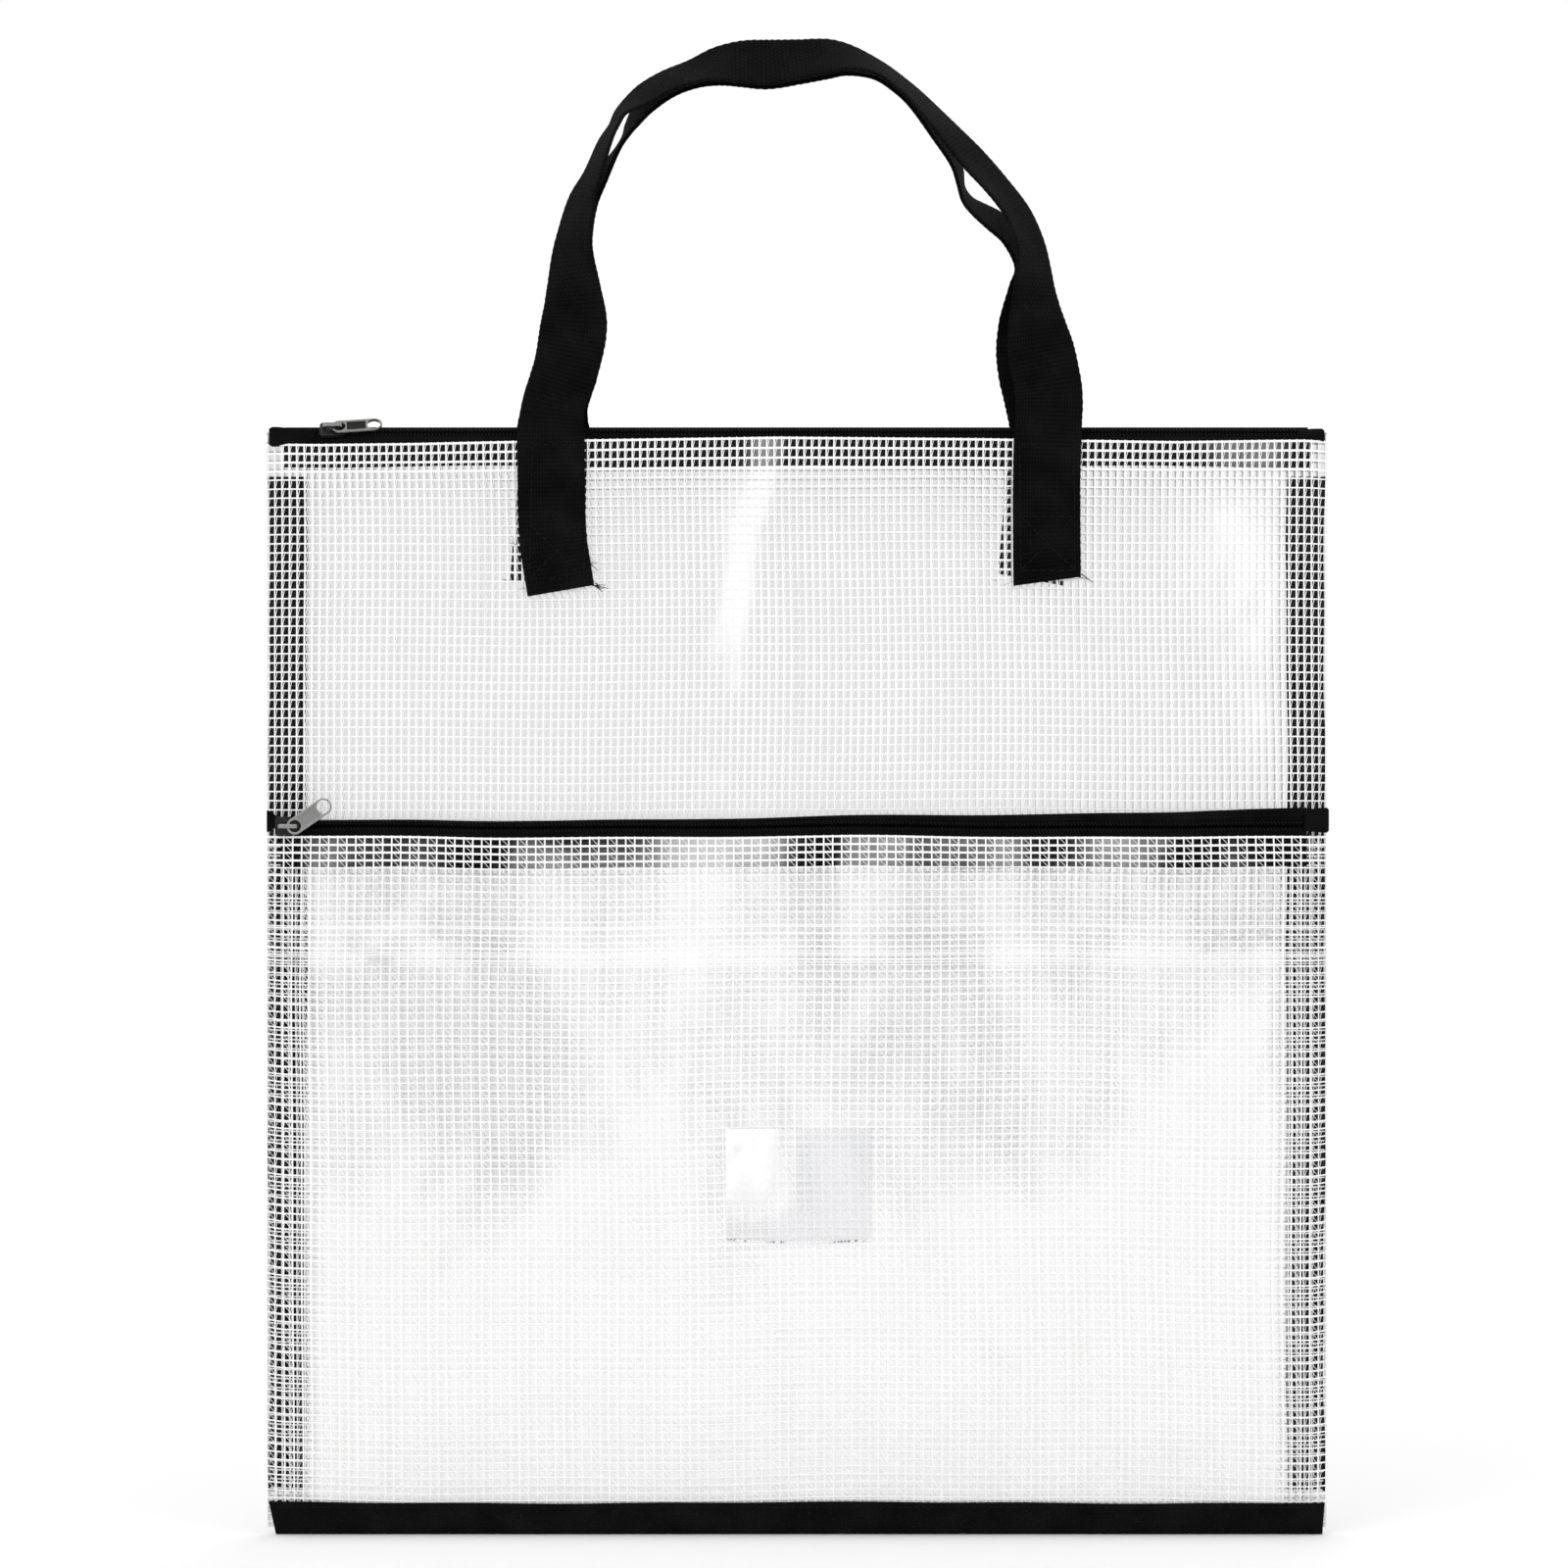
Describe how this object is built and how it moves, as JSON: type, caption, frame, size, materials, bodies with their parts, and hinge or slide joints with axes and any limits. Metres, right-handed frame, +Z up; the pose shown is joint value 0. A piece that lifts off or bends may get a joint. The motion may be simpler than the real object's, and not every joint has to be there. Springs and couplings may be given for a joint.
{
  "type": "beach bag",
  "caption": "Flat clear mesh-reinforced tote with a zippered top, a zippered front pocket, a label window and black webbing handles.",
  "frame": {"origin": "where a hook or hand bears, at the middle of the handles on the lower edge of their loops", "axes": "+X along the zippers towards the open ends, the front faces -Y, +Z up as the bag hangs from its handles"},
  "size_m": [0.393, 0.0324, 0.5569],
  "materials": {
    "film": "glossy clear film over a white scrim grid",
    "window_film": "glossy clear film",
    "binding_tape": "ribbed woven tape",
    "zip_tape": "fine woven tape",
    "coil": "satin",
    "webbing": "woven webbing",
    "thread": "matte",
    "slider_enamel": "satin enamel",
    "nickel": "bright plating with a satin sunk field"
  },
  "bodies": {
    "bag": {"front_panel": "film", "back_panel": "film", "pocket_panel": "film", "label_window": "window_film", "left_seam_binding": "binding_tape", "right_seam_binding": "binding_tape", "bottom_binding": "binding_tape", "top_zip_front_tape": "zip_tape", "top_zip_back_tape": "zip_tape", "pocket_zip_upper_tape": "zip_tape", "pocket_zip_lower_tape": "zip_tape", "top_zip_left_end": "zip_tape", "top_zip_right_end": "zip_tape", "pocket_zip_left_end": "zip_tape", "pocket_zip_right_end": "zip_tape", "top_zip_front_coil": "coil", "top_zip_back_coil": "coil", "pocket_zip_lower_coil": "coil", "pocket_zip_upper_coil": "coil", "front_handle_left_leg": "webbing", "front_handle_right_leg": "webbing", "back_handle_left_leg": "webbing", "back_handle_right_leg": "webbing", "front_handle_stitches": "thread", "back_handle_stitches": "thread"},
    "top_slider": {"top_slider_body": "slider_enamel", "top_slider_bail": "nickel"},
    "top_pull": {"top_pull_tab": "nickel"},
    "pocket_slider": {"pocket_slider_body": "slider_enamel", "pocket_slider_bail": "nickel"},
    "pocket_pull": {"pocket_pull_tab": "nickel"},
    "front_handle": {"front_handle_loop": "webbing"},
    "back_handle": {"back_handle_loop": "webbing"}
  },
  "joints": [
    {"name": "top_slider_slide", "type": "slide", "parent": "bag", "child": "top_slider", "axis": [1, 0, 0], "range_m": [0, 0.352]},
    {"name": "top_pull_lift", "type": "hinge", "parent": "top_slider", "child": "top_pull", "pos_m": [-0.172, -0.00226, -0.12871], "axis": [0, -0.7071, -0.7071], "range_deg": [0, 165]},
    {"name": "pocket_slider_slide", "type": "slide", "parent": "bag", "child": "pocket_slider", "axis": [1, 0, 0], "range_m": [0, 0.369]},
    {"name": "pocket_pull_lift", "type": "hinge", "parent": "pocket_slider", "child": "pocket_pull", "pos_m": [-0.1878, -0.0109, -0.27647], "axis": [0, 0, -1], "range_deg": [0, 165]},
    {"name": "front_handle_fold", "type": "hinge", "parent": "bag", "child": "front_handle", "pos_m": [0, -0.0074, -0.12896], "axis": [1, 0, 0], "range_deg": [0, 165]},
    {"name": "back_handle_fold", "type": "hinge", "parent": "bag", "child": "back_handle", "pos_m": [0, 0.0074, -0.12896], "axis": [-1, 0, 0], "range_deg": [0, 165]}
  ]
}
